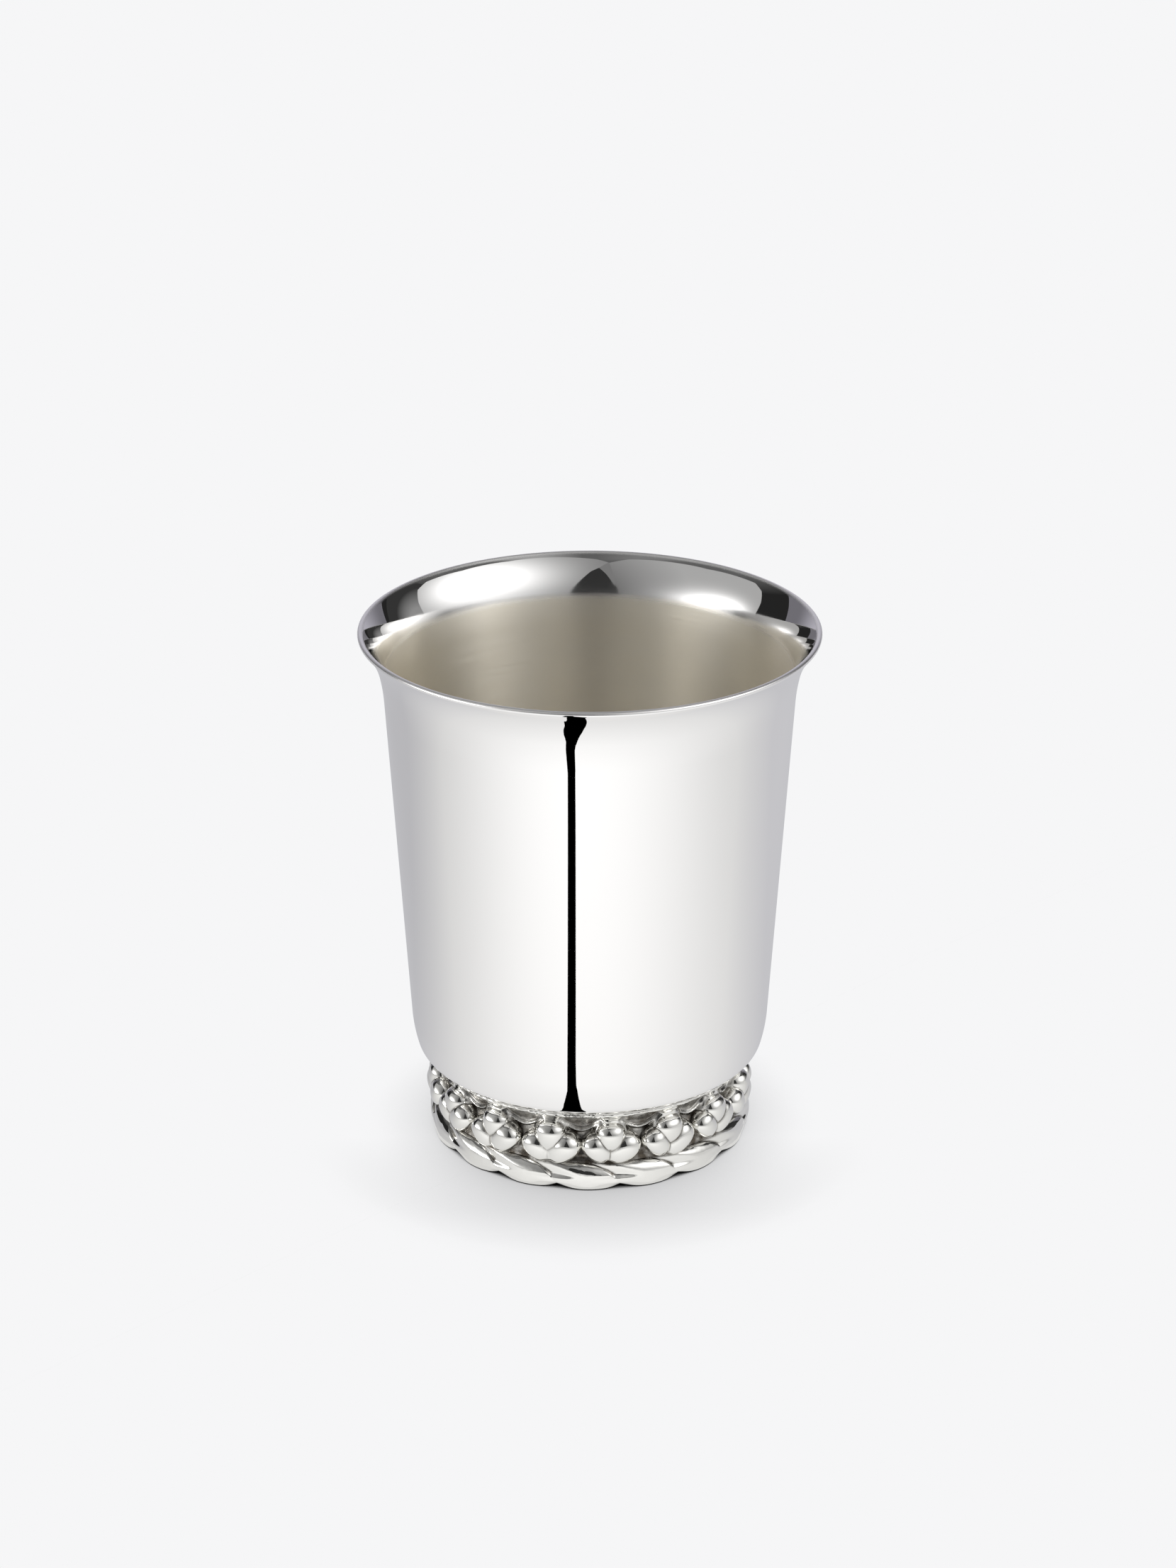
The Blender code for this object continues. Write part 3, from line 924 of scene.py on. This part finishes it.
front = add_node(tree, "ShaderNodeSeparateXYZ", {"Vector": place}).outputs["Y"]
before_cup = add_node(
    tree, "ShaderNodeMapRange", {"Value": front, "From Min": -8 * MM, "From Max": -32 * MM}
)
open_sky = add_node(
    tree,
    "ShaderNodeMix",
    {
        "Factor": before_cup.outputs[0],
        "A": tight_shadow.outputs[0],
        "B": wide_shadow.outputs[0],
    },
)
contact = add_node(
    tree,
    "ShaderNodeMapRange",
    {"Value": nearness, "From Min": 0.12, "From Max": 0.42},
    interpolation_type="SMOOTHSTEP",
)
shade = add_node(
    tree, "ShaderNodeMath", {0: open_sky.outputs[0], 1: contact.outputs[0]}, operation="MULTIPLY"
)
tree.links.new(shade.outputs[0], glow.inputs["Strength"])
stage_mesh("table", flat_mesh("table", square(ROOM_SIZE, 0)), table_paint, camera=True, metal=False)

# The lit sheet. White paper below the level of the table, which the polished wall reflects all
# round. A lamp brightens it in front of the cup, a little to the left. Behind the cup it is
# slightly dimmer and cooler.
SHEET_DEPTH = 0.1
GLOW_CENTRE = Vector((-0.073, -0.355, -SHEET_DEPTH))
GLOW_REACH = Vector((0.713, 0.575, 1))
LAMP_LEVEL = 0.44
LEFT_LEVEL, RIGHT_LEVEL = 0.607, 0.693
SIDE_REACH = 0.25
BACK_REACH = 0.2
BACK_LOSS = -0.09
COOL_WHITE = "FAFAFF"
sheet_light, tree, glow, place = glowing("lit_sheet")
from_centre = add_node(
    tree, "ShaderNodeVectorMath", {0: place, 1: GLOW_CENTRE}, operation="SUBTRACT"
)
scaled = add_node(
    tree, "ShaderNodeVectorMath", {0: from_centre.outputs[0], 1: GLOW_REACH}, operation="DIVIDE"
)
away = add_node(tree, "ShaderNodeVectorMath", {0: scaled.outputs[0]}, operation="LENGTH")
lamp_glow = add_node(
    tree,
    "ShaderNodeMapRange",
    {"Value": away.outputs["Value"], "To Min": LAMP_LEVEL, "To Max": 0},
    interpolation_type="SMOOTHSTEP",
)
parts = add_node(tree, "ShaderNodeSeparateXYZ", {"Vector": place}).outputs
side = add_node(
    tree,
    "ShaderNodeMapRange",
    {
        "Value": parts["X"],
        "From Min": -SIDE_REACH,
        "From Max": SIDE_REACH,
        "To Min": LEFT_LEVEL,
        "To Max": RIGHT_LEVEL,
    },
)
back = add_node(
    tree, "ShaderNodeMapRange", {"Value": parts["Y"], "From Max": BACK_REACH, "To Max": BACK_LOSS}
)
room = add_node(
    tree, "ShaderNodeMath", {0: side.outputs[0], 1: back.outputs[0]}, operation="ADD"
)
level = add_node(
    tree, "ShaderNodeMath", {0: room.outputs[0], 1: lamp_glow.outputs[0]}, operation="ADD"
)
tree.links.new(level.outputs[0], glow.inputs["Strength"])
cool = add_node(tree, "ShaderNodeMapRange", {"Value": parts["Y"], "From Max": BACK_REACH})
room_tint = add_node(
    tree,
    "ShaderNodeMix",
    {"Factor": cool.outputs[0], "A": (1, 1, 1, 1), "B": linear(COOL_WHITE)},
    data_type="RGBA",
)
tree.links.new(room_tint.outputs["Result"], glow.inputs["Color"])
lit_sheet = flat_mesh("lit_sheet", square(2 * ROOM_SIZE, -SHEET_DEPTH))
stage_mesh("lit_sheet", lit_sheet, sheet_light)

# The dark slit. A crack in the paper, drawn by its left edge from behind the cup towards the
# camera and its right edge back, in millimetres. Only the buds and leaves see it lit, as if it
# weren't there. In the rest of the metal it is black.
SLIT_LEFT_EDGE = [
    (-15, 100), (-17, 73), (-20, 0), (-24.5, -46), (-30, -75), (-34.5, -105), (-37, -130),
    (-40.5, -160), (-48.5, -200), (-65, -306), (-85, -430),
]
SLIT_RIGHT_EDGE = [
    (-60, -430), (-41.5, -306), (-30.5, -205), (-23, -170), (-18, -140), (-13.5, -115), (-9, -90),
    (-4, -50), (-2.5, -25), (-3, 0), (-2, 73), (0, 100),
]
SLIT_LIFT = 1 * MM
slit = [(x * MM, y * MM, SLIT_LIFT - SHEET_DEPTH) for x, y in SLIT_LEFT_EDGE + SLIT_RIGHT_EDGE]
dark_slit = stage_mesh("dark_slit", flat_mesh("dark_slit", slit), sheet_light)
dark_slit.light_linking.receiver_collection = foot_metal

# The table close round the foot, as the leaves and buds reflect it: dark in their own shadow,
# and brighter towards the rim of a small disc.
DISC_RADIUS = 26.7 * MM
DISC_CORNERS = 96
DISC_DARK_RADIUS, DISC_BRIGHT_RADIUS = 24.8 * MM, 26.1 * MM
DISC_LEVEL = 0.78
near_table, tree, glow, place = glowing("table_seen_by_the_foot")
flat = add_node(tree, "ShaderNodeVectorMath", {0: place}, operation="LENGTH")
fade = add_node(
    tree,
    "ShaderNodeMapRange",
    {
        "Value": flat.outputs["Value"],
        "From Min": DISC_DARK_RADIUS,
        "From Max": DISC_BRIGHT_RADIUS,
        "To Max": DISC_LEVEL,
    },
    interpolation_type="SMOOTHSTEP",
)
tree.links.new(fade.outputs[0], glow.inputs["Strength"])
disc = []
for step in range(DISC_CORNERS):
    angle = 2 * math.pi * step / DISC_CORNERS
    disc.append((DISC_RADIUS * math.cos(angle), DISC_RADIUS * math.sin(angle), 0))
stage_mesh("near_table", flat_mesh("near_table", disc), near_table)

# The softboxes. Two tall cloths left and right of the camera, each brightest round one hot spot
# and brighter towards its outer edge. Their outlines are (azimuth, elevation) pairs in degrees,
# as seen from the lip, where the azimuth counts from the camera's side.
LIP_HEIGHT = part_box("bowl")[1].z
SOFTBOX_DISTANCE = 3.0
INNER_EDGE = -0.8
HOT_SPOT_SQUEEZE = 1.4
RIGHT_SOFTBOX = [
    (13, -4.5), (13, 3), (7, 21.5), (-0.8, 38.9), (-5.8, 44), (-12.6, 51.9), (-5.2, 56.5),
    (26.8, 59.8), (58.5, 54.7), (85.5, 45), (106, 35), (109.5, 28), (107, 17), (103, 5),
    (101, -4.5),
]
LEFT_SOFTBOX = [
    (-17, -4.5), (-17, 4), (-14.2, 22), (-13.8, 36.8), (-13, 51.5), (-28, 56.8), (-60.8, 53),
    (-79.3, 46.4), (-97.9, 39.2), (-107, 34), (-109, 27), (-107, 17), (-103, 5), (-101, -4.5),
]


def aimed(azimuth, elevation):
    """The direction at this azimuth from the camera's side and this height over the horizon."""
    azimuth, elevation = math.radians(azimuth), math.radians(elevation)
    level = math.cos(elevation)
    return Vector((math.sin(azimuth) * level, -math.cos(azimuth) * level, math.sin(elevation)))


def held_up(name, middle, outline, distance, material):
    """A flat thing of the studio, drawn by the directions of its corners as seen from the lip."""
    facing = aimed(*middle)
    side = math.copysign(1, middle[0])
    right = Vector((0, 0, 1)).cross(facing).normalized() * side
    up = facing.cross(right) * side
    corners = []
    for corner in outline:
        ray = aimed(*corner)
        corners.append((ray.dot(right) / ray.dot(facing), ray.dot(up) / ray.dot(facing), 0))
    thing = stage_mesh(name, flat_mesh(name, corners), material)
    turn = Matrix((right, up, facing)).transposed().to_4x4()
    centre = Vector((0, 0, LIP_HEIGHT)) + facing * distance
    thing.matrix_world = Matrix.Translation(centre) @ turn @ Matrix.Scale(distance, 4)


def softbox(name, middle, outline, hot_spot, reach, peak, sharpness, outer_edge, edge_levels):
    """A softbox whose cloth is brightest round one spot and grows brighter outwards."""
    cloth, tree, glow, place = glowing(name)
    across = add_node(tree, "ShaderNodeSeparateXYZ", {"Vector": place}).outputs["X"]
    base = add_node(
        tree,
        "ShaderNodeMapRange",
        {
            "Value": across,
            "From Min": INNER_EDGE,
            "From Max": outer_edge,
            "To Min": edge_levels[0],
            "To Max": edge_levels[1],
        },
    )
    squeezed = add_node(
        tree, "ShaderNodeVectorMath", {0: place, 1: (1, HOT_SPOT_SQUEEZE, 1)}, operation="MULTIPLY"
    )
    away = add_node(
        tree,
        "ShaderNodeVectorMath",
        {0: squeezed.outputs[0], 1: (hot_spot[0], HOT_SPOT_SQUEEZE * hot_spot[1], 0)},
        operation="DISTANCE",
    )
    near = add_node(
        tree,
        "ShaderNodeMapRange",
        {"Value": away.outputs["Value"], "From Max": reach, "To Min": 1, "To Max": 0},
    )
    flare = add_node(
        tree, "ShaderNodeMath", {0: near.outputs[0], 1: sharpness}, operation="POWER"
    )
    strength = add_node(
        tree,
        "ShaderNodeMath",
        {0: flare.outputs[0], 1: peak, 2: base.outputs[0]},
        operation="MULTIPLY_ADD",
    )
    tree.links.new(strength.outputs[0], glow.inputs["Strength"])
    held_up(name, middle, outline, SOFTBOX_DISTANCE, cloth)


softbox(
    "right_softbox",
    middle=(52, 28),
    outline=RIGHT_SOFTBOX,
    hot_spot=(0.24, 0.04),
    reach=3.0,
    peak=2.8,
    sharpness=7,
    outer_edge=1.1,
    edge_levels=(0.23, 0.39),
)
softbox(
    "left_softbox",
    middle=(-52, 28),
    outline=LEFT_SOFTBOX,
    hot_spot=(0.48, -0.6),
    reach=1.74,
    peak=20.5,
    sharpness=8,
    outer_edge=0.1,
    edge_levels=(0.14, 0.4),
)

# The flap and the gap. A dim flap hangs beside the left softbox, and behind it the room between
# the two softboxes is almost black.
FLAP = [(-20, 10), (-13.5, 20), (-9.9, 34.4), (-5.8, 44), (-12.6, 51.9), (-20, 50)]
FLAP_DISTANCE = 6
FLAP_LEVEL = 0.19
GAP = [(-25, -4.5), (-25, 50), (-12.6, 51.9), (-2, 50), (20, 30), (20, -4.5)]
GAP_DISTANCE = 9
GAP_LEVEL = 0.03
dim_cloth, _, glow, _ = glowing("softbox_flap")
glow.inputs["Strength"].default_value = FLAP_LEVEL
held_up("softbox_flap", (-14, 30), FLAP, FLAP_DISTANCE, dim_cloth)
shade_cloth, _, glow, _ = glowing("dark_gap")
glow.inputs["Strength"].default_value = GAP_LEVEL
held_up("dark_gap", (-2, 25), GAP, GAP_DISTANCE, shade_cloth)

# The side card. A pale card at the right of the cup, brightest in its middle, that fades away
# softly towards its edges.
CARD = [(98, -4.5), (98, 30), (112, 34), (124, 32), (132, 22), (134, -4.5)]
CARD_DISTANCE = 9
CARD_SQUEEZE = (1, 0.6, 1)
CARD_CENTRE = (0, -0.1, 0)
CARD_BRIGHT_REACH, CARD_DIM_REACH = 0.12, 0.32
CARD_LEVEL, CARD_EDGE_LEVEL = 0.27, 0.035
pale_card, tree, glow, place = glowing("side_card")
flattened = add_node(
    tree, "ShaderNodeVectorMath", {0: place, 1: CARD_SQUEEZE}, operation="MULTIPLY"
)
away = add_node(
    tree, "ShaderNodeVectorMath", {0: flattened.outputs[0], 1: CARD_CENTRE}, operation="DISTANCE"
)
card_glow = add_node(
    tree,
    "ShaderNodeMapRange",
    {
        "Value": away.outputs["Value"],
        "From Min": CARD_BRIGHT_REACH,
        "From Max": CARD_DIM_REACH,
        "To Min": CARD_LEVEL,
        "To Max": CARD_EDGE_LEVEL,
    },
)
tree.links.new(card_glow.outputs[0], glow.inputs["Strength"])
held_up("side_card", (108, 10), CARD, CARD_DISTANCE, pale_card)

# The grey wall. Painted board, a cool grey, that curves round behind the cup. It gets less light
# where it bends forward on either side.
BACKDROP_GREY = "BAB8C2"
BACKDROP_DISTANCE = 1.6
BACKDROP_PANELS = 20
BACKDROP_START = 137
BACKDROP_STEP = 4.65
BACKDROP_FOOT, BACKDROP_TOP = -0.6, 1.4
BACKDROP_BEND = 1.2
BACKDROP_SIDE_LEVEL = 0.33
wall_paint, tree, glow, place = glowing("grey_wall")
glow.inputs["Color"].default_value = linear(BACKDROP_GREY)
behind = add_node(tree, "ShaderNodeSeparateXYZ", {"Vector": place}).outputs["Y"]
wall_glow = add_node(
    tree,
    "ShaderNodeMapRange",
    {
        "Value": behind,
        "From Min": BACKDROP_BEND,
        "From Max": BACKDROP_DISTANCE,
        "To Min": BACKDROP_SIDE_LEVEL,
    },
    interpolation_type="SMOOTHSTEP",
)
tree.links.new(wall_glow.outputs[0], glow.inputs["Strength"])
work = bmesh.new()
joints = range(BACKDROP_PANELS + 1)
angles = [math.radians(BACKDROP_START + BACKDROP_STEP * joint) for joint in joints]
low = [work.verts.new(around_cup(BACKDROP_DISTANCE, angle, BACKDROP_FOOT)) for angle in angles]
high = [work.verts.new(around_cup(BACKDROP_DISTANCE, angle, BACKDROP_TOP)) for angle in angles]
for step in range(BACKDROP_PANELS):
    work.faces.new((low[step], low[step + 1], high[step + 1], high[step]))
wall_mesh = bpy.data.meshes.new("grey_wall")
work.to_mesh(wall_mesh)
work.free()
stage_mesh("grey_wall", wall_mesh, wall_paint)

# The room. The metal sees a ceiling that is dim, with some spill of light high up on either side.
# Matt things are lit by soft daylight from above and from the left. The camera sees a background
# in the table's own pale tone.
CEILING_START, CEILING_END = 0.42, 0.66
ROOM_LEVEL, CEILING_LEVEL = 0.022, 0.14
RIGHT_SPILL, LEFT_SPILL = 0.28, 0.1
SPILL_START, SPILL_END = 0.05, 0.3
SPILL_HEIGHTS = (0.8, 0.84)
OVERHEAD_SHARPNESS = 2
LEFT_LIGHT = aimed(-60, 35)
LEFT_LIGHT_SHARPNESS = 3
LEFT_LIGHT_SHARE = 2
DAYLIGHT_LEVEL = 1.2
world = bpy.data.worlds.new("studio")
bpy.context.scene.world = world
world.use_nodes = True
tree = world.node_tree
daylight = tree.nodes["Background"]
daylight.inputs["Color"].default_value = (1, 1, 1, 1)
direction = add_node(tree, "ShaderNodeTexCoord").outputs["Generated"]
upward = add_node(tree, "ShaderNodeSeparateXYZ", {"Vector": direction}).outputs["Z"]
ceiling = add_node(
    tree,
    "ShaderNodeMapRange",
    {
        "Value": upward,
        "From Min": CEILING_START,
        "From Max": CEILING_END,
        "To Min": ROOM_LEVEL,
        "To Max": CEILING_LEVEL,
    },
)
rightward = add_node(tree, "ShaderNodeSeparateXYZ", {"Vector": direction}).outputs["X"]
right_spill = add_node(
    tree,
    "ShaderNodeMapRange",
    {
        "Value": rightward,
        "From Min": SPILL_START,
        "From Max": SPILL_END,
        "To Max": RIGHT_SPILL,
    },
)
left_spill = add_node(
    tree,
    "ShaderNodeMapRange",
    {
        "Value": rightward,
        "From Min": -SPILL_START,
        "From Max": -SPILL_END,
        "To Max": LEFT_SPILL,
    },
)
both_spills = add_node(
    tree, "ShaderNodeMath", {0: right_spill.outputs[0], 1: left_spill.outputs[0]}, operation="ADD"
)
high_up = add_node(
    tree,
    "ShaderNodeMapRange",
    {"Value": upward, "From Min": SPILL_HEIGHTS[0], "From Max": SPILL_HEIGHTS[1]},
)
above = add_node(
    tree,
    "ShaderNodeMath",
    {0: both_spills.outputs[0], 1: high_up.outputs[0], 2: ceiling.outputs[0]},
    operation="MULTIPLY_ADD",
)
overhead = add_node(
    tree,
    "ShaderNodeMath",
    {0: upward, 1: OVERHEAD_SHARPNESS},
    operation="POWER",
    use_clamp=True,
)
from_left = add_node(
    tree, "ShaderNodeVectorMath", {0: direction, 1: LEFT_LIGHT}, operation="DOT_PRODUCT"
)
left_clear = add_node(
    tree, "ShaderNodeMath", {0: from_left.outputs["Value"], 1: 0}, operation="MAXIMUM"
)
left_light = add_node(
    tree, "ShaderNodeMath", {0: left_clear.outputs[0], 1: LEFT_LIGHT_SHARPNESS}, operation="POWER"
)
both_lights = add_node(
    tree,
    "ShaderNodeMath",
    {0: left_light.outputs[0], 1: LEFT_LIGHT_SHARE, 2: overhead.outputs[0]},
    operation="MULTIPLY_ADD",
)
skylight = add_node(
    tree, "ShaderNodeMath", {0: both_lights.outputs[0], 1: DAYLIGHT_LEVEL}, operation="MULTIPLY"
)
tree.links.new(skylight.outputs[0], daylight.inputs["Strength"])
dim_room = add_node(tree, "ShaderNodeBackground", {"Strength": above.outputs[0]})
seen = add_node(tree, "ShaderNodeBackground", {"Color": linear(PALE_TABLE)})
ray = add_node(tree, "ShaderNodeLightPath").outputs
metal_or_light = add_node(
    tree,
    "ShaderNodeMixShader",
    {0: ray["Is Glossy Ray"], 1: daylight.outputs[0], 2: dim_room.outputs[0]},
)
camera_or_other = add_node(
    tree,
    "ShaderNodeMixShader",
    {0: ray["Is Camera Ray"], 1: metal_or_light.outputs[0], 2: seen.outputs[0]},
)
tree.links.new(camera_or_other.outputs[0], tree.nodes["World Output"].inputs["Surface"])

# The camera. A long lens half a metre in front of the cup, that looks down on it by 23 degrees.
# The picture keeps its tones plain, with no film curve.
CAMERA_PLACE = Vector((-0.000278, -0.53994, 0.28750))
CAMERA_TILT = math.radians(67.051)
CAMERA_LENS = 85
CAMERA_SENSOR = 36
camera_data = bpy.data.cameras.new("camera")
camera_data.lens = CAMERA_LENS
camera_data.sensor_width = CAMERA_SENSOR
camera = bpy.data.objects.new("camera", camera_data)
bpy.context.scene.collection.objects.link(camera)
camera.location = CAMERA_PLACE
camera.rotation_euler = (CAMERA_TILT, 0, 0)
bpy.context.scene.camera = camera
bpy.context.scene.view_settings.view_transform = "Standard"
